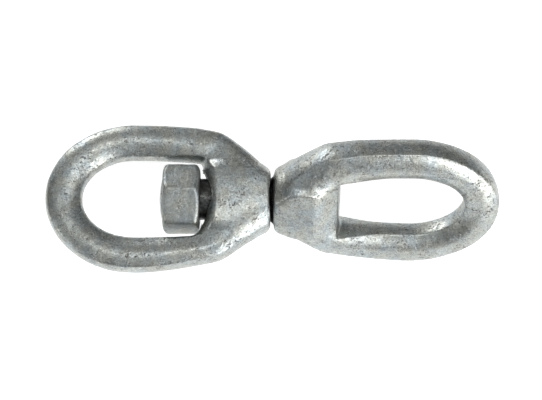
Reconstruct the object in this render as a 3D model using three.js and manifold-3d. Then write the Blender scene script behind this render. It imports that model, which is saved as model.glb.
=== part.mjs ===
// Eye-and-eye chain swivel, drop forged and hot-dip galvanised, for a 16 mm chain or hook line.
// Two forged eyes face away from each other on one axis. The bow eye has a bored boss. The shank eye has
// a turning shank forged in one piece with it, which runs through that bore. A hex nut inside the bow
// eye holds the two together, and the shank's end is riveted over the nut so that it can't unscrew.
//
// Units are millimetres, +Z is up. The swivel axis is X and the origin lies on it, midway between the
// two crowns and in the gap between the two heads. The bow eye lies flat in the XY plane towards -X.
// The shank eye reaches towards +X, turned by TWIST about the swivel axis.
import * as THREE from "three";
import { mergeVertices } from "three/addons/utils/BufferGeometryUtils.js";
import Module from "manifold-3d";

// Overall
const LENGTH = 220; // over the two crowns
const NECK_GAP = 1.6; // between the two heads, part of the end float
const TWIST = THREE.MathUtils.degToRad(58); // shank eye about the swivel axis, at rest

// One forged eye, in its own frame: x from the neck face to the crown, y across, z square to the eye
const EYE_LENGTH = (LENGTH - NECK_GAP) / 2;
const BEND_X = 66; // where the limbs pass into the round crown
const LIMB_THICKNESS = 16.6;
const CROWNING = { across: 5.5, down: 3.4 }; // how the limbs' faces fall away towards their edges
const CROWNING_STEPS = 3;
const SHOULDER_START = { x: 3, y: 17.2 };
const SHOULDER_END = { x: 18.5, y: 28.4 };
const OPENING_CORNER = 2.5;

// The head that carries the bore or the shank: two flats, sloping away at the sides and to the opening
const FLAT_HEIGHT = 14; // from the axis to a flat
const FLAT_HALF_WIDTH = 15;
const SIDE_SLOPE = 0.6;
const NECK = { radius: 12.4, round: 4.5, coneRadius: 14.6, coneSlope: 0.75 };

// The two eyes: half their width over the limbs, the width of a limb and of the crown, where the opening
// ends at the head, its half width there, where the flats end, how far the flats run on before they fall,
// and the height they fall to
const BOW = {
  halfWidth: 36.5,
  limbWidth: 17,
  crownWidth: 18.2,
  openingX: 30.9,
  openingHalf: 18,
  flatEnd: 25.5,
  runOn: 0.9,
  lipHeight: 8,
};
const SHANK_EYE = {
  halfWidth: 36.3,
  limbWidth: 18.2,
  crownWidth: 17.8,
  openingX: 32.2,
  openingHalf: 15.9,
  flatEnd: 21.5,
  runOn: 0.2,
  lipHeight: 5,
};

// Shank, bore and M20 hex nut
const SHANK_RADIUS = 10;
const BORE_RADIUS = 10.7;
const BORE_CHAMFER = 1.2;
const NUT_ACROSS_FLATS = 30;
const NUT_HEIGHT = 18;
const NUT_CHAMFER = THREE.MathUtils.degToRad(30);
const NUT_FACE_RADIUS = 14.2;
const NUT_GAP = 3.2; // between the boss's inner face and the nut, the rest of the end float
const NUT_ROLL = THREE.MathUtils.degToRad(-5); // which way the flats face
const THREAD_RADIUS = 9.2; // mean radius of the M20 thread, drawn plain
const THREAD_CLEARANCE = 0.3;
const RIVET_RADIUS = 10.6;
const RIVET_FACE_RADIUS = 8; // of the flat on top of the riveted end
const RIVET_PROUD = 1;
const UNDERCUT = 0.3; // between the rivet head and the nut

const ROUND_STEPS = 48;
const OUTLINE_STEPS = 10;
const SHORTEST_EDGE = 0.05; // outline points nearer to each other than this are one point
const ROOT = 4; // how far the shank starts inside its head
const PAST = 1; // how far a cutting solid runs past the face that it cuts

const wasm = await Module();
wasm.setup();

const zinc = new THREE.MeshStandardMaterial({ color: 0x9aa09f, roughness: 0.45, metalness: 1 });
const nutZinc = new THREE.MeshStandardMaterial({ color: 0x8f9694, roughness: 0.5, metalness: 1 });

// A three.js geometry as a manifold-3d solid.
function solidOf(geometry) {
  const bare = geometry.index ? geometry.toNonIndexed() : geometry.clone();
  bare.deleteAttribute("normal");
  bare.deleteAttribute("uv");
  const merged = mergeVertices(bare, 1e-4);
  const corners = merged.index.array;
  const triangles = [];
  for (let i = 0; i < corners.length; i += 3) {
    const [a, b, c] = corners.slice(i, i + 3);
    if (a !== b && b !== c && c !== a) triangles.push(a, b, c);
  }
  return new wasm.Manifold(
    new wasm.Mesh({
      numProp: 3,
      vertProperties: merged.attributes.position.array,
      triVerts: new Uint32Array(triangles),
    }),
  );
}

// A manifold-3d solid as a three.js geometry.
function geometryOf(solid) {
  const mesh = solid.getMesh();
  const geometry = new THREE.BufferGeometry();
  geometry.setAttribute("position", new THREE.BufferAttribute(mesh.vertProperties, 3));
  geometry.setIndex(new THREE.BufferAttribute(mesh.triVerts, 1));
  geometry.computeVertexNormals();
  return geometry;
}

// A solid of revolution about X. The profile's points are [x, radius], and it starts and ends on the axis.
function turned(profile, steps = ROUND_STEPS) {
  const points = profile.map(([x, radius]) => new THREE.Vector2(radius, x));
  const geometry = new THREE.LatheGeometry(points, steps);
  geometry.rotateZ(-Math.PI / 2); // the lathe's Y axis becomes +X
  return solidOf(geometry);
}

// The eye's outer outline: straight shoulders, slightly swelling limbs and a half-elliptical crown.
function outerOutline({ halfWidth }) {
  const shape = new THREE.Shape();
  const { x: startX, y: startY } = SHOULDER_START;
  const { x: endX, y: endY } = SHOULDER_END;
  const slope = (endY - startY) / (endX - startX);
  const leave = 7; // how far the shoulder's slope carries on into the limb's curve
  const arrive = 22; // how far the limb runs straight before the crown
  shape.moveTo(startX, -startY);
  shape.lineTo(endX, -endY);
  shape.bezierCurveTo(
    endX + leave, -endY - slope * leave,
    BEND_X - arrive, -halfWidth,
    BEND_X, -halfWidth,
  );
  shape.absellipse(BEND_X, 0, EYE_LENGTH - BEND_X, halfWidth, -Math.PI / 2, Math.PI / 2);
  shape.bezierCurveTo(
    BEND_X - arrive, halfWidth,
    endX + leave, endY + slope * leave,
    endX, endY,
  );
  shape.lineTo(startX, startY);
  return shape;
}

// The opening: straight across at the head, widening a little, and half an ellipse at the crown.
function openingOutline({ halfWidth, limbWidth, crownWidth, openingX, openingHalf }) {
  const path = new THREE.Path();
  const r = OPENING_CORNER;
  const easing = 16;
  const widest = halfWidth - limbWidth;
  path.moveTo(openingX, openingHalf - r);
  path.quadraticCurveTo(openingX, openingHalf, openingX + r, openingHalf);
  path.bezierCurveTo(
    openingX + r + easing, openingHalf,
    BEND_X - easing, widest,
    BEND_X, widest,
  );
  const reach = EYE_LENGTH - crownWidth - BEND_X;
  path.absellipse(BEND_X, 0, reach, widest, Math.PI / 2, -Math.PI / 2, true);
  path.bezierCurveTo(
    BEND_X - easing, -widest,
    openingX + r + easing, -openingHalf,
    openingX + r, -openingHalf,
  );
  path.quadraticCurveTo(openingX, -openingHalf, openingX, -openingHalf + r);
  path.closePath();
  return path;
}

// The same outline as a plain polygon, without the doubled points where its curves meet.
function polygonOf(path, Kind) {
  const points = path.getPoints(OUTLINE_STEPS);
  const apart = points.filter((point, i) => point.distanceTo(points.at(i - 1)) > SHORTEST_EDGE);
  return new Kind(apart);
}

// A plain prism of a shape, centred on the plane that the shape is drawn in.
function prism(shape, depth) {
  const geometry = new THREE.ExtrudeGeometry(shape, { depth, bevelEnabled: false });
  geometry.translate(0, 0, -depth / 2);
  return geometry;
}

// The flat ring of the limbs, crown and shoulders, with its two faces crowned.
function ring(form) {
  const outline = polygonOf(outerOutline(form), THREE.Shape);
  outline.holes.push(polygonOf(openingOutline(form), THREE.Path));
  const geometry = new THREE.ExtrudeGeometry(outline, {
    depth: LIMB_THICKNESS - 2 * CROWNING.down,
    bevelThickness: CROWNING.down,
    bevelSize: CROWNING.across,
    bevelOffset: -CROWNING.across,
    bevelSegments: CROWNING_STEPS,
  });
  geometry.translate(0, 0, CROWNING.down - LIMB_THICKNESS / 2);
  return solidOf(geometry);
}

// The head seen from the side: flat, then falling to the lip of the opening.
function headSide({ openingX, flatEnd, runOn, lipHeight }) {
  const side = new THREE.Shape();
  const turnX = flatEnd + runOn * (openingX - flatEnd);
  side.moveTo(0, -FLAT_HEIGHT);
  side.lineTo(flatEnd, -FLAT_HEIGHT);
  side.quadraticCurveTo(turnX, -FLAT_HEIGHT, openingX, -lipHeight);
  side.lineTo(openingX, lipHeight);
  side.quadraticCurveTo(turnX, FLAT_HEIGHT, flatEnd, FLAT_HEIGHT);
  side.lineTo(0, FLAT_HEIGHT);
  return polygonOf(side, THREE.Shape);
}

// The head seen along the axis: the flats, and slopes down to the edges.
function headSection({ halfWidth }) {
  const edge = FLAT_HEIGHT - SIDE_SLOPE * (halfWidth - FLAT_HALF_WIDTH);
  return new THREE.Shape([
    new THREE.Vector2(-halfWidth, -edge),
    new THREE.Vector2(-FLAT_HALF_WIDTH, -FLAT_HEIGHT),
    new THREE.Vector2(FLAT_HALF_WIDTH, -FLAT_HEIGHT),
    new THREE.Vector2(halfWidth, -edge),
    new THREE.Vector2(halfWidth, edge),
    new THREE.Vector2(FLAT_HALF_WIDTH, FLAT_HEIGHT),
    new THREE.Vector2(-FLAT_HALF_WIDTH, FLAT_HEIGHT),
    new THREE.Vector2(-halfWidth, edge),
  ]);
}

// The head is what its plan, its side view and its section have in common.
function head(form) {
  const plan = prism(polygonOf(outerOutline(form), THREE.Shape), 2 * FLAT_HEIGHT);
  const side = prism(headSide(form), 2 * form.halfWidth);
  side.rotateX(Math.PI / 2); // the side view's y becomes z
  const section = prism(headSection(form), 2 * form.openingX);
  section.rotateX(Math.PI / 2);
  section.rotateZ(Math.PI / 2); // the section's x becomes y, its y becomes z
  const start = SHOULDER_START;
  const neckBlock = prism(
    new THREE.Shape([
      new THREE.Vector2(0, -start.y),
      new THREE.Vector2(start.x, -start.y),
      new THREE.Vector2(start.x, start.y),
      new THREE.Vector2(0, start.y),
    ]),
    2 * FLAT_HEIGHT,
  );
  return solidOf(plan).add(solidOf(neckBlock)).intersect(solidOf(side)).intersect(solidOf(section));
}

// The turned neck: a rounded end face, then a cone that the whole eye stays inside.
function neck() {
  const { radius, round, coneRadius, coneSlope } = NECK;
  const coneStart = coneRadius + coneSlope * round;
  const halfWay = Math.SQRT1_2; // round the quarter turn from the end face to the cone
  return turned([
    [0, 0],
    [0, radius],
    [round * (1 - halfWay), radius + (coneStart - radius) * halfWay],
    [round, coneStart],
    [EYE_LENGTH, coneRadius + coneSlope * EYE_LENGTH],
    [EYE_LENGTH, 0],
  ]);
}

function forgedEye(form) {
  return ring(form).add(head(form)).intersect(neck());
}

// The bow eye: the forged eye with a chamfered bore through its boss.
function bowEye() {
  const inner = BOW.openingX;
  const mouthRadius = BORE_RADIUS + BORE_CHAMFER + PAST;
  const bore = turned([
    [-PAST, 0],
    [-PAST, mouthRadius],
    [BORE_CHAMFER, BORE_RADIUS],
    [inner - BORE_CHAMFER, BORE_RADIUS],
    [inner + PAST, mouthRadius],
    [inner + PAST, 0],
  ]);
  return geometryOf(forgedEye(BOW).subtract(bore));
}

// Distance from the shank eye's neck face back to the nut's two faces.
const NUT_NEAR = NECK_GAP + BOW.openingX + NUT_GAP;
const NUT_FAR = NUT_NEAR + NUT_HEIGHT;

// The shank eye: the forged eye with its turning shank, stepped down to the thread and riveted over.
function shankEye() {
  const rivetStart = NUT_FAR + UNDERCUT;
  const rivetEnd = NUT_FAR + RIVET_PROUD;
  const shank = turned([
    [-rivetEnd, 0],
    [-rivetEnd, RIVET_FACE_RADIUS],
    [-(rivetStart + rivetEnd) / 2, RIVET_RADIUS],
    [-rivetStart, RIVET_RADIUS],
    [-rivetStart, THREAD_RADIUS],
    [-NUT_NEAR, THREAD_RADIUS],
    [-NUT_NEAR + (SHANK_RADIUS - THREAD_RADIUS), SHANK_RADIUS],
    [ROOT, SHANK_RADIUS],
    [ROOT, 0],
  ]);
  return geometryOf(forgedEye(SHANK_EYE).add(shank));
}

// The hex nut, chamfered on both faces, with its hole countersunk.
function hexNut() {
  const cornerRadius = NUT_ACROSS_FLATS / Math.sqrt(3);
  const hexagon = new THREE.CylinderGeometry(cornerRadius, cornerRadius, NUT_HEIGHT, 6);
  hexagon.rotateZ(-Math.PI / 2);
  hexagon.translate(NUT_HEIGHT / 2, 0, 0);
  const chamferDepth = (cornerRadius - NUT_FACE_RADIUS) * Math.tan(NUT_CHAMFER);
  const chamfers = turned([
    [0, 0],
    [0, NUT_FACE_RADIUS],
    [chamferDepth, cornerRadius],
    [NUT_HEIGHT - chamferDepth, cornerRadius],
    [NUT_HEIGHT, NUT_FACE_RADIUS],
    [NUT_HEIGHT, 0],
  ]);
  const holeRadius = THREAD_RADIUS + THREAD_CLEARANCE;
  const sink = SHANK_RADIUS + THREAD_CLEARANCE - holeRadius;
  const hole = turned([
    [-PAST, 0],
    [-PAST, holeRadius + sink + PAST],
    [sink, holeRadius],
    [NUT_HEIGHT + PAST, holeRadius],
    [NUT_HEIGHT + PAST, 0],
  ]);
  return geometryOf(solidOf(hexagon).intersect(chamfers).subtract(hole));
}

function named(name, geometry, material) {
  const mesh = new THREE.Mesh(geometry, material);
  mesh.name = name;
  return mesh;
}

const swivel = new THREE.Group();

const bow = named("bow_eye", bowEye(), zinc);
bow.position.x = -NECK_GAP / 2;
bow.rotation.z = Math.PI;
swivel.add(bow);

// What turns: the shank eye and the nut fixed to its shank.
const turning = new THREE.Group();
turning.position.x = NECK_GAP / 2;
turning.rotation.x = TWIST;
turning.add(named("shank_eye", shankEye(), zinc));
const nut = named("hex_nut", hexNut(), nutZinc);
nut.position.x = -NUT_NEAR;
nut.rotation.set(NUT_ROLL - TWIST, 0, Math.PI, "XYZ");
turning.add(nut);
swivel.add(turning);

export default swivel;
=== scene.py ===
import math
from dataclasses import dataclass

import bpy
import numpy as np
from mathutils import Matrix, Vector


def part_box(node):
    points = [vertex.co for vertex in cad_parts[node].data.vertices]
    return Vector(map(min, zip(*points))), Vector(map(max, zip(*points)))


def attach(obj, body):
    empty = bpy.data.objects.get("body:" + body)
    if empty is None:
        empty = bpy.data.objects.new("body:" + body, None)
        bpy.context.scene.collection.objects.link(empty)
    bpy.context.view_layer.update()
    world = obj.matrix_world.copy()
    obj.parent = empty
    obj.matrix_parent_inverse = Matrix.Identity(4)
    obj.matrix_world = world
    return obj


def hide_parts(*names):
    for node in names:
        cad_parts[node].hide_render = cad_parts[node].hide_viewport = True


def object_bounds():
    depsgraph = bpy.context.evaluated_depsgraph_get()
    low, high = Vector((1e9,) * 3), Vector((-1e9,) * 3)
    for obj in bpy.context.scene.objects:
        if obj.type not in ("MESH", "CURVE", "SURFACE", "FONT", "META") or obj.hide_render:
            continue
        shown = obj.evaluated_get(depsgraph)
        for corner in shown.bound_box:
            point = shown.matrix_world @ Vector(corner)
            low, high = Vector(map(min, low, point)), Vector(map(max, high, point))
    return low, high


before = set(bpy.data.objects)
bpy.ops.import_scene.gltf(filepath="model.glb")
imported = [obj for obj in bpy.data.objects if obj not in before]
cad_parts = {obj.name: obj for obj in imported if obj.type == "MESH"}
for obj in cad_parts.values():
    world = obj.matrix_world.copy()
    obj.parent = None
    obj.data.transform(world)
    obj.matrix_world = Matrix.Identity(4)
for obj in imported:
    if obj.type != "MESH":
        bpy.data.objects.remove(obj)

CAD_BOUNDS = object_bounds()
MM = 0.001

# Driving sizes, in millimetres
TWIST = math.radians(58)  # shank eye about the swivel axis
NUT_ROLL = math.radians(-5)
PITCH = 0.5  # of the grid that the forgings' meshes are made on
NUT_PITCH = 0.4
MARGIN = 1.2  # of that grid round a piece
FINE_ROUND = 0.3  # of edges that are all but sharp

# The limbs
BEND_X = 66.0  # where they pass into the round crown
LIMB_HALF_THICKNESS = 8.3
LIMB_SWELL = 2.9  # how much narrower the eye would be at half way back to the neck
OUTER_FALL = {"limb": 3.0, "neck": 4.2}  # of a limb's face towards its outer edge
OUTER_FALL_X = {"limb": 32.0, "neck": 12.0}  # where each of the two is reached
INNER_FALL = 4.4  # and towards the opening
BAND_HALF_HEIGHT = 4.3  # of the plain band round the head's outside
WALL_CROWN = 0.5  # how far the walls stand proud at the parting plane

# The heads
FLAT_HEIGHT = 14.0
NECK_CROWN_LENGTH = 14.0  # over which the flat falls towards the neck
SHOULDER = {"x": 3.0, "y": 17.2, "slope": 0.72, "round": 2.0}  # the straight edge, through a point
LEAN = {"full_x": 12.0, "fade_x": 28.0, "full_y": 8.0}  # where an eye's lean is full, and fades again
LEAST_SIDE = 4.0  # width, in plan, of the slope beside the flat
HEAD_EDGE = (13.0, 18.5)  # over this stretch of y the head gives way to the limb
LIMB_RUNOUT = {"x": 18.0, "slope": 0.36}  # how the head's height falls along a limb
LIMB_BLEND = 9.0  # rounding between the head and the limbs' faces
BULGE_FADE = (33.0, 42.0)  # over this stretch of x the opening's bulging wall turns upright
NECK = {"radius": 12.0, "full_radius": 18.2, "round": 4.8, "slope": 1.0, "squash": 0.93, "blend": 3.0}

# The joint
BORE_RADIUS = 10.7
BORE_MARK = 0.6  # the bore's painted shade, and its smoothness, reach this much past its wall
BORE_CHAMFER = {"length": 1.2, "most": 3.0}  # it goes on past the face, but no wider than the most
SHANK_RADIUS = 10.0
SHANK_ROOT = {"growth": 2.2, "length": 3.0}  # how the shank thickens where it leaves its head
SHANK_START = 4.0  # the x it starts at, inside the head
THREAD_RADIUS = 9.3
NUT_HOLE_RADIUS = 9.9
RIVET = {"radius": 10.6, "length": 1.5, "dome": 0.012, "round": 1.2}  # dome: fall over radius squared

# The zinc
ZINC_INSET = 0.3  # the surface is drawn in by this much, and the zinc's lumps stand on it
ZINC_START = 3.0  # the unevenness grows over this length from the neck face


def smaller(a, b, width):
    """The smaller of two values, with the crease between them filled over about that width."""
    nearness = np.maximum(width - np.abs(a - b), 0) / width
    return np.minimum(a, b) - nearness * nearness * width / 4


def larger(a, b, width):
    """The larger of two values, with the crease between them filled over about that width."""
    return -smaller(-a, -b, width)


def ramp(value, start, end):
    """0 up to the start and 1 past the end, with a smooth rise between them."""
    share = np.clip((value - start) / (end - start), 0, 1)
    return share * share * (3 - 2 * share)


def near_ellipse(x, y, a, b):
    """About the distance from an ellipse with half axes a and b, negative inside."""
    reach = np.sqrt((x / a) ** 2 + (y / b) ** 2) + 1e-9
    steepness = np.sqrt((x / a**2) ** 2 + (y / b**2) ** 2) + 1e-9
    return reach * (reach - 1) / steepness


@dataclass
class Eye:
    """One forged eye's shape. Where there are two values, the first is for the -y side."""

    length: float
    half_width: float
    limb_width: float
    crown_width: float
    opening_x: float  # where the opening starts
    opening_half: float  # its half width there
    corners: tuple  # radius in the opening's corners at the head
    draft: float  # how far the opening's wall bulges out of the head at the middle plane
    lean: float  # how much fuller the shoulder is on the +y side, and slimmer on the other
    flat_half: tuple  # half width of the head's flat at the neck
    flat_growth: tuple  # and how it widens over x
    ridge_round: float  # rounding of the ridges along the head's flat
    lip_round: float  # and of the one across it, where it falls to the opening
    fillet: float  # where the limbs leave the head
    side_crown: float  # how much the flat falls towards its ridges
    neck_crown: float  # and towards the neck
    outer_fall_width: float  # of a limb's face towards its outer edge
    inner_fall_width: float
    edge_round: float
    lip: object  # height of the head over x, where it falls to the opening

    def half(self, x, y):
        """Half the eye's width short of the crown, and whether it is the shoulder's."""
        back = (BEND_X - x) / (BEND_X / 2)
        limb = self.half_width - LIMB_SWELL * back**2
        shoulder = SHOULDER["y"] + SHOULDER["slope"] * (x - SHOULDER["x"])
        along = ramp(x, 0, LEAN["full_x"]) * (1 - ramp(x, LEAN["fade_x"], BEND_X))
        leaning = self.lean * along * np.clip(y / LEAN["full_y"], -1, 1)
        return smaller(limb, shoulder, SHOULDER["round"]) + leaning, shoulder < limb

    def outline(self, x, y):
        """Distance from the outer outline in plan, negative inside."""
        half, on_shoulder = self.half(x, y)
        lean = np.where(on_shoulder, math.hypot(1, SHOULDER["slope"]), 1.0)
        sides = (np.abs(y) - half) / lean
        crown = near_ellipse(x - BEND_X, y, self.length - BEND_X, self.half_width)
        return np.where(x < BEND_X, sides, crown)

    def opening(self, x, y):
        """Distance from the opening in plan, negative inside it."""
        widest = self.half_width - self.limb_width
        back = (BEND_X - x) / (BEND_X - self.opening_x)
        half = widest - (widest - self.opening_half) * back**2
        corner = np.where(y < 0, *self.corners)
        sides = larger(np.abs(y) - half, self.opening_x - x, corner)
        crown = near_ellipse(x - BEND_X, y, self.length - self.crown_width - BEND_X, widest)
        return np.where(x < BEND_X, sides, crown)

    def height(self, x, y, outline, opening):
        """Height of the front face over the middle plane."""
        span = OUTER_FALL_X["limb"] - OUTER_FALL_X["neck"]
        near_neck = np.clip((OUTER_FALL_X["limb"] - x) / span, 0, 1)
        fall = OUTER_FALL["limb"] + (OUTER_FALL["neck"] - OUTER_FALL["limb"]) * near_neck
        outer = np.clip(1 + outline / self.outer_fall_width, 0, 1) ** 2
        inner = np.clip(1 - opening / self.inner_fall_width, 0, 1) ** 2
        limb = LIMB_HALF_THICKNESS - fall * outer - INNER_FALL * inner
        ridge = np.where(y < 0, *self.flat_half) + np.where(y < 0, *self.flat_growth) * x
        half, _ = self.half(x, y)
        slope = (FLAT_HEIGHT - BAND_HALF_HEIGHT) / np.maximum(half - ridge, LEAST_SIDE)
        side = FLAT_HEIGHT - slope * (np.abs(y) - ridge)
        flat = FLAT_HEIGHT - self.side_crown * (y / ridge) ** 2
        flat = flat - self.neck_crown * np.clip(1 - x / NECK_CROWN_LENGTH, 0, 1) ** 2
        on_limb = ramp(np.abs(y), *HEAD_EDGE)
        runout = FLAT_HEIGHT - LIMB_RUNOUT["slope"] * np.maximum(x - LIMB_RUNOUT["x"], 0)
        lip = self.lip(x) * (1 - on_limb) + runout * on_limb
        lip_round = self.lip_round * (1 - on_limb) + LIMB_BLEND * on_limb
        head = smaller(smaller(flat, side, self.ridge_round), lip, lip_round)
        return larger(limb, head, self.fillet)

    def field(self, x, y, z):
        """Negative in the metal and nought on its surface."""
        outline, opening = self.outline(x, y), self.opening(x, y)
        face = np.abs(z) - self.height(x, y, outline, opening)
        bulge = self.draft * (1 - (z / FLAT_HEIGHT) ** 2) * (1 - ramp(x, *BULGE_FADE))
        wall = self.opening(x - bulge, y)
        recess = WALL_CROWN * (z / BAND_HALF_HEIGHT) ** 2
        body = larger(larger(face, outline + recess, self.edge_round), recess - wall, self.edge_round)
        return larger(body, neck_end(x, np.sqrt((NECK["squash"] * y) ** 2 + z * z)), NECK["blend"])


def neck_end(x, radius):
    """Both eyes' end at the joint: a plain face rounded off into the head, then clear of it.

    The 0.98 keeps the rounding's slope finite, and the 0.7 brings its steepness near a distance's.
    """
    share = 1 - np.clip(x / NECK["round"], 0, 1)
    reach = NECK["full_radius"] - NECK["radius"]
    around = NECK["radius"] + reach * np.sqrt(1 - share**2 * 0.98)
    around = around + NECK["slope"] * np.maximum(x - NECK["round"], 0)
    return larger((radius - around) * 0.7, -x, 0.4)


def surface_net(field, low, high, pitch):
    """Corners and quads of a mesh of the surface where the field is nought."""
    axes = [np.arange(a, b + pitch, pitch) for a, b in zip(low, high)]
    x, y, z = np.meshgrid(*axes, indexing="ij", sparse=True)
    values = np.broadcast_to(field(x, y, z), [len(a) for a in axes]).astype(np.float32)
    inside = values < 0
    cells = np.array(inside.shape) - 1
    corner = [(i, j, k) for i in (0, 1) for j in (0, 1) for k in (0, 1)]

    def at(grid, offset):
        return grid[tuple(slice(o, o + n) for o, n in zip(offset, cells))]

    count = sum(at(inside, c).astype(np.int8) for c in corner)
    mixed = (count > 0) & (count < 8)
    where = np.argwhere(mixed)

    # A corner in each mixed cell, at the mean of the places where the surface crosses its edges
    number = np.full(cells, -1, np.int64)
    number[mixed] = np.arange(len(where))
    total, crossings = np.zeros((len(where), 3)), np.zeros(len(where))
    for axis in range(3):
        step = np.eye(3, dtype=int)[axis]
        for start in corner:
            if start[axis]:
                continue
            a = values[tuple((where + start).T)]
            b = values[tuple((where + start + step).T)]
            crossed = (a < 0) != (b < 0)
            share = np.where(crossed, a / np.where(crossed, a - b, 1), 0)
            point = np.array(start) + share[:, None] * step
            total += point * crossed[:, None]
            crossings += crossed
    corners = np.array(low) + pitch * (where + total / crossings[:, None])

    # A quad for each grid edge that the surface crosses, between the four cells round the edge
    quads = []
    for axis in range(3):
        first, second = [a for a in range(3) if a != axis]
        lower = inside[tuple(slice(None, -1) if a == axis else slice(1, -1) for a in range(3))]
        upper = inside[tuple(slice(1, None) if a == axis else slice(1, -1) for a in range(3))]
        edges = np.argwhere(lower != upper)
        edges += [0 if a == axis else 1 for a in range(3)]
        out = inside[tuple(edges.T)]
        ring = []
        for shift in ((1, 1), (0, 1), (0, 0), (1, 0)):
            cell = edges.copy()
            cell[:, first] -= shift[0]
            cell[:, second] -= shift[1]
            ring.append(number[tuple(cell.T)])
        ring = np.stack(ring, 1)
        turned = out if axis != 1 else ~out
        quads.append(np.where(turned[:, None], ring, ring[:, ::-1]))
    return corners, np.concatenate(quads)


def gradient(field, points, step=0.02):
    """Direction in which the field grows fastest at each point, and how fast."""
    slopes = []
    for axis in range(3):
        ahead, behind = points.copy(), points.copy()
        ahead[:, axis] += step
        behind[:, axis] -= step
        slopes.append((field(*ahead.T) - field(*behind.T)) / (2 * step))
    slopes = np.stack(slopes, 1)
    size = np.linalg.norm(slopes, axis=1, keepdims=True) + 1e-9
    return slopes / size, size[:, 0]


def settle(field, points, rounds=3, most=0.25):
    """Moves the points onto the surface, and returns them with their outward directions."""
    for _ in range(rounds):
        out, steepness = gradient(field, points)
        away = np.clip(field(*points.T) / np.maximum(steepness, 0.3), -most, most)
        points = points - away[:, None] * out
    return points, gradient(field, points)[0]


def waves(points, seed, shortest, longest, count=28):
    """Smooth unevenness between about -1 and 1, as a sum of waves in all directions."""
    random = np.random.default_rng(seed)
    result = np.zeros(len(points))
    for _ in range(count):
        direction = random.normal(size=3)
        direction /= np.linalg.norm(direction)
        length = math.exp(random.uniform(math.log(shortest), math.log(longest)))
        result += np.sin(points @ direction * (2 * math.pi / length) + random.uniform(0, 2 * math.pi))
    return result * math.sqrt(2 / count) / 2


def spots(points, seed, count, size, depth):
    """Scattered round lumps and pits: gentle bells of random size and depth, nought past 3 sizes."""
    random = np.random.default_rng(seed)
    centres = points[random.integers(0, len(points), count)]
    result = np.zeros(len(points))
    for centre in centres:
        width = random.uniform(*size)
        amount = random.uniform(*depth)
        near = np.abs(points - centre).max(axis=1) < 3 * width
        distance = np.linalg.norm(points[near] - centre, axis=1)
        result[near] += amount * np.exp(-((distance / width) ** 2) * 1.5)
    return result


def galvanised_relief(points, seed):
    """Height of the zinc's unevenness: the forging's long swells, short lumps, pits and pimples."""
    swells = 0.09 * waves(points, seed, shortest=12, longest=34)
    short = 0.018 * waves(points, seed + 1, shortest=2.4, longest=6, count=40)
    pimples = spots(points, seed + 2, count=70, size=(0.5, 1.1), depth=(0.03, 0.1))
    pits = spots(points, seed + 3, count=110, size=(0.5, 1.2), depth=(-0.16, -0.04))
    return swells + short + pimples + pits


def enclosed(field, points, out):
    """How much of the view out from each point the piece itself blocks, from 0 to 1."""
    reaches = (2.0, 5.0, 10.0)  # the distances where the view is tried
    blocked = [np.clip(1 - field(*(points + reach * out).T) / reach, 0, 1) for reach in reaches]
    return sum(blocked) / len(reaches)


def edge_curve(field, points, step=0.9):
    """How sharply the surface turns at each point: above 0 on outer edges, below 0 in creases.

    It is the sum of the field's values at the six neighbours a step away, less six times its own.
    """
    total = -6 * field(*points.T)
    for axis in range(3):
        for side in (-step, step):
            moved = points.copy()
            moved[:, axis] += side
            total += field(*moved.T)
    return total / step


def mesh_object(name, points, quads, place, marks):
    """A smooth-shaded object from corners in millimetres in the piece's frame, set in place in metres.

    Each of the marks is one value for each corner, which the materials read.
    """
    mesh = bpy.data.meshes.new(name)
    turn = np.array(place)[:3, :3]
    move = np.array(place)[:3, 3]
    corners = (points @ turn.T + move) * MM
    mesh.vertices.add(len(corners))
    mesh.vertices.foreach_set("co", corners.astype(np.float32).ravel())
    mesh.loops.add(quads.size)
    mesh.loops.foreach_set("vertex_index", quads.astype(np.int32).ravel())
    mesh.polygons.add(len(quads))
    mesh.polygons.foreach_set("loop_start", np.arange(0, quads.size, 4, dtype=np.int32))
    mesh.polygons.foreach_set("use_smooth", np.ones(len(quads), bool))
    mesh.update(calc_edges=True)
    for mark, values in marks.items():
        attribute = mesh.attributes.new(mark, "FLOAT", "POINT")
        attribute.data.foreach_set("value", np.clip(values, -1, 1).astype(np.float32))
    piece = bpy.data.objects.new(name, mesh)
    bpy.context.collection.objects.link(piece)
    return piece


def box_mm(node):
    """A solid's lowest and highest corner in millimetres."""
    low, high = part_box(node)
    return np.array(low) / MM, np.array(high) / MM


# Places and lengths from the frame
BOW_LOW, BOW_HIGH = box_mm("bow_eye")
NUT_LOW, NUT_HIGH = box_mm("hex_nut")
BOW_NECK, SHANK_NECK = BOW_HIGH[0], -BOW_HIGH[0]
EYE_LENGTH = BOW_HIGH[0] - BOW_LOW[0]
BOW_PLACE = Matrix.Translation((BOW_NECK, 0, 0)) @ Matrix.Rotation(math.pi, 4, "Z")
SHANK_PLACE = Matrix.Translation((SHANK_NECK, 0, 0)) @ Matrix.Rotation(TWIST, 4, "X")
NUT_NEAR = SHANK_NECK - NUT_HIGH[0]  # from the shank eye's neck face to the nut
NUT_FAR = SHANK_NECK - NUT_LOW[0]


def forged_piece(name, field, low, place, relief, hidden):
    """A forging's mesh from its field, its zinc's relief and where it is darkened with painted shade.

    The relief and the hidden part are functions of the points.
    """
    high = (EYE_LENGTH + MARGIN, -low[1], -low[2])
    points, quads = surface_net(field, low, high, PITCH)
    points, out = settle(field, points)
    # Painted shade, darkest where the piece blocks its own view out and over the hidden part; and the
    # edges' sharpness
    marks = {
        "painted_shade_mark": np.maximum(enclosed(field, points, out), hidden(points)),
        "edge": edge_curve(field, points),
    }
    return mesh_object(name, points + relief(points)[:, None] * out, quads, place, marks)


def round_lip(x, flat_end=25.3, opening_x=30.9, drop=6.5):
    """The bow eye's head rolls over into the opening on a quarter ellipse.

    The ellipse stops short of its upright end, and past the opening's edge the fall is a plain 3 to 1.
    """
    share = np.clip((x - flat_end) / (opening_x - flat_end), 0, 0.985)
    return FLAT_HEIGHT - drop * (1 - np.sqrt(1 - share**2)) - 3 * np.maximum(x - opening_x, 0)


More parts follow.
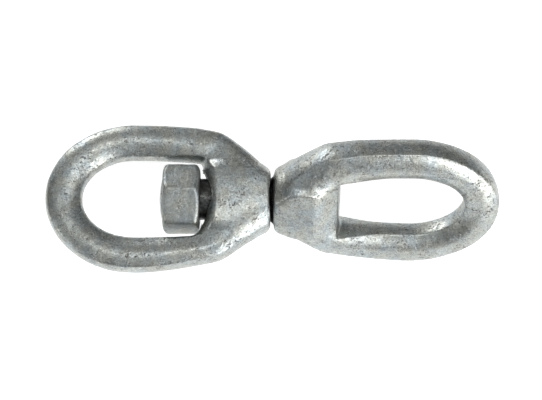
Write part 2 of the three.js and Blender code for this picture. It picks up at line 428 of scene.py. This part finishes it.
def sloping_lip(x, flat_end=21.5, slope=0.88):
    """The shank eye's head falls to the opening in a plain slope."""
    return FLAT_HEIGHT - slope * (x - flat_end)


def bow_eye():
    eye = Eye(
        length=EYE_LENGTH,
        half_width=BOW_HIGH[1],
        limb_width=17.2,
        crown_width=18.4,
        opening_x=30.9,
        opening_half=18.0,
        corners=(3, 8),
        draft=2.4,
        lean=-1.4,
        flat_half=(12.0, 7.0),
        flat_growth=(0.15, 0.3),
        ridge_round=8.0,
        lip_round=4.0,
        fillet=6.0,
        side_crown=0.8,
        neck_crown=1.4,
        outer_fall_width=7.5,
        inner_fall_width=9.5,
        edge_round=0.9,
        lip=round_lip,
    )

    def field(x, y, z):
        solid = eye.field(x, y, z)
        length = BORE_CHAMFER["length"]
        chamfer = np.maximum(length - x, 0) + np.maximum(x - eye.opening_x + length, 0)
        bore = np.sqrt(y * y + z * z) - BORE_RADIUS - np.minimum(chamfer, BORE_CHAMFER["most"])
        past_head = x >= eye.opening_x + 2
        return np.where(past_head, solid, larger(solid, -bore, 0.5))

    # The bore, darkened with painted shade and kept smooth
    def in_bore(points):
        radius = np.hypot(points[:, 1], points[:, 2])
        return (radius < BORE_RADIUS + BORE_MARK) & (points[:, 0] < eye.opening_x + 1)

    def relief(points):
        zinc = galvanised_relief(points, seed=11) - ZINC_INSET
        return np.where(in_bore(points), 0, zinc) * np.clip(points[:, 0] / ZINC_START, 0, 1)

    low = (-MARGIN, -eye.half_width - MARGIN, -FLAT_HEIGHT - MARGIN)
    return forged_piece("bow_eye_forging", field, low, BOW_PLACE, relief, in_bore)


def shank_eye():
    eye = Eye(
        length=EYE_LENGTH,
        half_width=36.3,
        limb_width=18.3,
        crown_width=17.8,
        opening_x=32.2,
        opening_half=15.9,
        corners=(2.0, 2.0),
        draft=0.0,
        lean=1.2,
        flat_half=(10.5, 13.4),
        flat_growth=(0.27, 0.18),
        ridge_round=1.4,
        lip_round=3.0,
        fillet=5.0,
        side_crown=0.2,
        neck_crown=0.8,
        outer_fall_width=9.0,
        inner_fall_width=9.0,
        edge_round=0.5,
        lip=sloping_lip,
    )
    rivet_start = NUT_FAR + 0.1
    rivet_end = rivet_start + RIVET["length"]

    def field(x, y, z):
        radius = np.sqrt(y * y + z * z)
        root = SHANK_ROOT["growth"] * np.clip(1 + x / SHANK_ROOT["length"], 0, 1) ** 2
        in_nut = x < -NUT_NEAR - 0.2
        shaft = np.where(in_nut, radius - THREAD_RADIUS, radius - SHANK_RADIUS - root)
        shank = larger(shaft, x - SHANK_START, FINE_ROUND)
        shank = larger(shank, -x - rivet_start - 0.5, FINE_ROUND)
        dome = -x - rivet_end + RIVET["dome"] * radius**2
        rivet = larger(radius - RIVET["radius"], dome, RIVET["round"])
        rivet = larger(rivet, x + rivet_start, FINE_ROUND)
        return smaller(smaller(eye.field(x, y, z), shank, 0.8), rivet, 0.2)

    def past_nut(points):
        return points[:, 0] < -rivet_start

    # The shaft in the gap between the neck and the nut, darkened with painted shade
    def in_gap(points):
        return (points[:, 0] < -0.3) & ~past_nut(points)

    def relief(points):
        zinc = galvanised_relief(points, seed=23) - ZINC_INSET
        zinc = zinc * np.clip(points[:, 0] / ZINC_START, 0, 1)
        hammered = 0.12 * waves(points, seed=25, shortest=3, longest=9) - 0.1
        return np.where(past_nut(points), hammered, zinc)

    low = (-rivet_end - MARGIN, -eye.half_width - MARGIN, -FLAT_HEIGHT - MARGIN)
    return forged_piece("shank_eye_forging", field, low, SHANK_PLACE, relief, in_gap)


def hex_nut():
    half_flats = 15.25
    face_radius = 14.6  # where the chamfers meet the faces
    chamfer = math.radians(30)
    rounding = {"corner": 1.6, "chamfer": 1.2, "face": 0.8, "hole": 0.6}
    height = NUT_HIGH[0] - NUT_LOW[0]

    def field(x, y, z):
        turns = (math.pi / 6, math.pi / 2, math.pi * 5 / 6)
        flats = [np.abs(y * math.sin(turn) + z * math.cos(turn)) - half_flats for turn in turns]
        sides = larger(larger(flats[0], flats[1], rounding["corner"]), flats[2], rounding["corner"])
        radius = np.sqrt(y * y + z * z)
        inward = height / 2 - np.abs(x - height / 2)
        cone = (radius - face_radius) * math.sin(chamfer) - inward * math.cos(chamfer)
        body = larger(larger(sides, cone, rounding["chamfer"]), -inward, rounding["face"])
        return larger(body, NUT_HOLE_RADIUS - radius, rounding["hole"])

    reach = 18.5  # past the nut's corners
    points, quads = surface_net(field, (-1, -reach, -reach), (height + 1, reach, reach), NUT_PITCH)
    points, out = settle(field, points)
    in_hole = np.hypot(points[:, 1], points[:, 2]) < NUT_HOLE_RADIUS + 0.7
    swells = 0.07 * waves(points, seed=31, shortest=6, longest=16)
    short = 0.03 * waves(points, seed=32, shortest=1.6, longest=4)
    relief = np.where(in_hole, 0, swells + short - 0.05)
    place = Matrix.Translation((NUT_HIGH[0], 0, 0))
    place = place @ Matrix.Rotation(NUT_ROLL, 4, "X") @ Matrix.Rotation(math.pi, 4, "Z")
    # Painted shade where the nut blocks its own view out and in its hole; and the edges' sharpness
    marks = {
        "painted_shade_mark": np.maximum(enclosed(field, points, out), in_hole),
        "edge": edge_curve(field, points),
    }
    return mesh_object("hex_nut_fine", points + relief[:, None] * out, quads, place, marks)


class Recipe:
    """A material's nodes, added by short calls that each return the socket to carry on from."""

    def __init__(self, name):
        self.material = bpy.data.materials.new(name)
        self.material.use_nodes = True
        self.tree = self.material.node_tree
        self.shader = self.tree.nodes["Principled BSDF"]

    def feed(self, socket, value):
        """Links a socket to another, or sets its constant."""
        if isinstance(value, bpy.types.NodeSocket):
            self.tree.links.new(value, socket)
        elif value is not None:
            socket.default_value = value

    def add(self, kind, values=(), **settings):
        """A new node with its settings made and its first sockets fed."""
        node = self.tree.nodes.new(kind)
        for key, setting in settings.items():
            setattr(node, key, setting)
        for socket, value in zip(node.inputs, values):
            self.feed(socket, value)
        return node

    def math(self, operation, *values):
        return self.add("ShaderNodeMath", values, operation=operation).outputs[0]

    def clamp(self, *values):
        """The first value, carried from the span of the next two to the span of the last two."""
        return self.add("ShaderNodeMapRange", values, clamp=True).outputs[0]

    def vector(self, operation, *values):
        return self.add("ShaderNodeVectorMath", values, operation=operation).outputs[0]

    def place(self):
        """Position on the piece in millimetres."""
        position = self.add("ShaderNodeTexCoord").outputs["Object"]
        return self.vector("MULTIPLY", position, (1 / MM, 1 / MM, 1 / MM))

    def noise(self, place, size, detail=3.0, roughness=0.55, shift=0.0):
        """Cloudy noise with blotches of about the given size in millimetres, between 0 and 1."""
        node = self.add("ShaderNodeTexNoise")
        self.feed(node.inputs["Vector"], self.vector("ADD", place, (shift, shift, shift)))
        self.feed(node.inputs["Scale"], 1 / size)
        self.feed(node.inputs["Detail"], detail)
        self.feed(node.inputs["Roughness"], roughness)
        return node.outputs["Fac"]

    def mark(self, name):
        """A value that the mesh carries at each corner."""
        return self.add("ShaderNodeAttribute", attribute_name=name).outputs["Fac"]

    def mix(self, share, first, second, blend="MIX"):
        """Two colours, mixed with the given share of the second. Sockets 6 and 7 take colours."""
        node = self.add("ShaderNodeMix", data_type="RGBA", blend_type=blend)
        self.feed(node.inputs["Factor"], share)
        self.feed(node.inputs[6], first)
        self.feed(node.inputs[7], second)
        return node.outputs[2]

    def bump(self, height, depth, below=None):
        """Relief of the given depth in millimetres."""
        node = self.add("ShaderNodeBump")
        self.feed(node.inputs["Distance"], depth * MM)
        self.feed(node.inputs["Height"], height)
        self.feed(node.inputs["Normal"], below)
        return node.outputs[0]


def grey(value, warmth=0.0):
    """A grey of the given lightness, a little warm or, below 0, cold."""
    return (value * (1 + warmth), value, value * (1 - warmth), 1)


def galvanised(name, tone, mottling, specks, lumps, dullness):
    """Hot-dip zinc: mottled greys with cold and greenish clouds, dark pits, and painted shade in the
    hollows.
    """
    r = Recipe(name)
    place = r.place()
    mottle = r.noise(place, 2.6, 7, 0.72)
    fine = r.noise(place, 0.75, 2, 0.6, shift=80)
    grain = r.noise(place, 0.35, 3, 0.6, shift=120)
    # The marks: painted shade, and the edges' sharpness
    painted_shade_mark, edge = r.mark("painted_shade_mark"), r.mark("edge")

    # Spangled greys, with darker clouds and a drift from cold to greenish
    spangle = r.math("ADD", r.math("MULTIPLY", mottle, 0.4), r.math("MULTIPLY", fine, 0.6))
    light = r.clamp(spangle, 0.5 - 0.3 / mottling, 0.5 + 0.3 / mottling, 0, 1)
    color = r.mix(light, grey(0.66 * tone), grey(1.2 * tone))
    cloud = r.clamp(r.noise(place, 14, 3), 0.38, 0.65, 0, 0.5)
    color = r.mix(cloud, color, grey(0.72), "MULTIPLY")
    drift = r.clamp(r.noise(place, 8, 4, shift=40), 0.4, 0.66, 0, 1)
    tint = r.mix(drift, (0.98, 1.0, 0.93, 1), (0.88, 0.97, 1.0, 1))
    color = r.mix(1.0, color, tint, "MULTIPLY")

    # Dark pits, which come in flocks and mostly on edges
    flock = r.math("ADD", r.noise(place, 7, 3, shift=160), r.math("MULTIPLY", edge, 0.12))
    flock = r.math("MULTIPLY", r.clamp(flock, 0.44, 0.62, 0, 1), 0.11)
    pits = r.clamp(r.math("ADD", r.noise(place, 1.1, 3, 0.7, shift=240), flock), 0.62, 0.74, 0, 1)
    pits = r.math("MULTIPLY", pits, specks)
    color = r.mix(pits, color, grey(0.1, 0.05))

    # Edges rubbed bright, and painted shade where the piece shades itself
    worn = r.math("MULTIPLY", r.clamp(edge, 0.25, 0.8, 0, 0.2), light)
    color = r.mix(worn, color, grey(0.8))
    painted_shade = r.math("MULTIPLY", r.clamp(painted_shade_mark, 0.25, 0.95, 0, 1), r.clamp(mottle, 0.3, 0.7, 1, 0.75))
    color = r.mix(painted_shade, color, grey(0.02, 0.05))
    r.feed(r.shader.inputs["Base Color"], color)

    uneven = r.noise(place, 2.0, 5, 0.65, shift=200)
    rough = r.clamp(uneven, 0.32, 0.68, 0.24 + dullness, 0.4 + dullness)
    rough = r.math("ADD", rough, r.math("MULTIPLY", pits, 0.25))
    r.feed(r.shader.inputs["Roughness"], rough)
    r.feed(r.shader.inputs["Metallic"], 0.96)

    relief = r.bump(mottle, 0.09 * lumps)
    relief = r.bump(fine, 0.06 * lumps, relief)
    relief = r.bump(grain, 0.03 * lumps, relief)
    relief = r.bump(pits, -0.12, relief)
    r.feed(r.shader.inputs["Normal"], relief)
    return r.material


pieces = {
    "bow_eye": (bow_eye(), "bow", "galvanised_forging"),
    "shank_eye": (shank_eye(), "shank", "galvanised_forging"),
    "hex_nut": (hex_nut(), "shank", "galvanised_nut"),
}
finishes = {
    "galvanised_forging": galvanised(
        "forging_zinc", tone=0.46, mottling=3.0, specks=0.9, lumps=1, dullness=0
    ),
    "galvanised_nut": galvanised(
        "nut_zinc", tone=0.42, mottling=2.2, specks=0.5, lumps=0.6, dullness=0.12
    ),
}
for node, (piece, body, slot) in pieces.items():
    piece.data.materials.append(finishes[slot])
    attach(piece, body)
    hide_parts(node)

# Camera, in metres, with its lens and sensor in millimetres
ELEVATION = math.radians(75.5)
DISTANCE = 1.0
ROLL = math.radians(0.5)
AIM = Vector((-0.00063, 0, 0))
SENSOR_WIDTH = 36
FOCAL_LENGTH = 137.29
camera = bpy.data.objects.new("camera", bpy.data.cameras.new("camera"))
bpy.context.collection.objects.link(camera)
bpy.context.scene.camera = camera
camera.data.sensor_width = SENSOR_WIDTH
camera.data.lens = FOCAL_LENGTH
camera.data.clip_start = 0.01
back = Vector((0, -math.cos(ELEVATION), math.sin(ELEVATION)))
up = Vector((0, math.sin(ELEVATION), math.cos(ELEVATION)))
camera.matrix_world = (
    Matrix.Translation(AIM + back * DISTANCE)
    @ Matrix((Vector((1, 0, 0)), up, back)).transposed().to_4x4()
    @ Matrix.Rotation(ROLL, 4, "Z")
)


def paper():
    """Matt white paper, which glows a little near the object, so that it stays white there."""
    r = Recipe("paper")
    away = r.add("ShaderNodeVectorMath", (r.place(),), operation="LENGTH").outputs["Value"]
    glow = r.clamp(away, 120, 320, 0.6, 0.05)
    r.feed(r.shader.inputs["Base Color"], grey(0.85))
    r.feed(r.shader.inputs["Roughness"], 0.9)
    r.feed(r.shader.inputs["Emission Color"], grey(1.0))
    r.feed(r.shader.inputs["Emission Strength"], glow)
    return r.material


# Floor
FLOOR_SIZE = 6
floor_z = min(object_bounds()[0][2], CAD_BOUNDS[0][2])
bpy.ops.mesh.primitive_plane_add(size=FLOOR_SIZE, location=(0, 0, floor_z))
floor = bpy.context.object
floor.name = "floor"
floor.data.materials.append(paper())


def studio_world(low, overhead):
    """Soft grey surroundings, paler overhead."""
    world = bpy.data.worlds.new("studio")
    bpy.context.scene.world = world
    world.use_nodes = True
    tree = world.node_tree
    direction = tree.nodes.new("ShaderNodeTexCoord").outputs["Generated"]
    parts = tree.nodes.new("ShaderNodeSeparateXYZ")
    tree.links.new(direction, parts.inputs[0])
    share = tree.nodes.new("ShaderNodeMapRange")
    share.interpolation_type = "SMOOTHSTEP"
    tree.links.new(parts.outputs["Z"], share.inputs["Value"])
    share.inputs["From Min"].default_value = 0.45
    share.inputs["From Max"].default_value = 1.0
    share.inputs["To Min"].default_value = low
    share.inputs["To Max"].default_value = overhead
    background = tree.nodes["Background"]
    background.inputs["Color"].default_value = (0.98, 1, 0.99, 1)
    tree.links.new(share.outputs[0], background.inputs["Strength"])


def softbox(name, towards, distance, size, radiance):
    """A rectangular soft light that shines at the object from a direction, of a given brightness."""
    place = Vector(towards).normalized() * distance
    light = bpy.data.lights.new(name, "AREA")
    light.shape = "RECTANGLE"
    light.size, light.size_y = size
    light.energy = radiance * size[0] * size[1] * math.pi
    lamp = bpy.data.objects.new(name, light)
    lamp.location = place
    lamp.rotation_euler = (-place).to_track_quat("-Z", "Y").to_euler()
    bpy.context.collection.objects.link(lamp)


# Lights
studio_world(low=0.18, overhead=0.55)
softbox("key", towards=(0.56, -0.74, 0.42), distance=0.8, size=(0.42, 0.8), radiance=4.4)
softbox("overhead", towards=(0.3, 0.0, 1.0), distance=0.9, size=(0.25, 1.0), radiance=2.6)
softbox("back", towards=(-0.5, 0.85, 0.22), distance=0.8, size=(0.42, 0.42), radiance=3.8)
softbox("fill", towards=(-0.85, -0.45, 0.3), distance=0.9, size=(0.5, 0.5), radiance=1.3)
softbox("side", towards=(0.93, -0.36, 0.06), distance=0.7, size=(0.3, 0.12), radiance=6.0)

bpy.context.scene.view_settings.view_transform = "Standard"
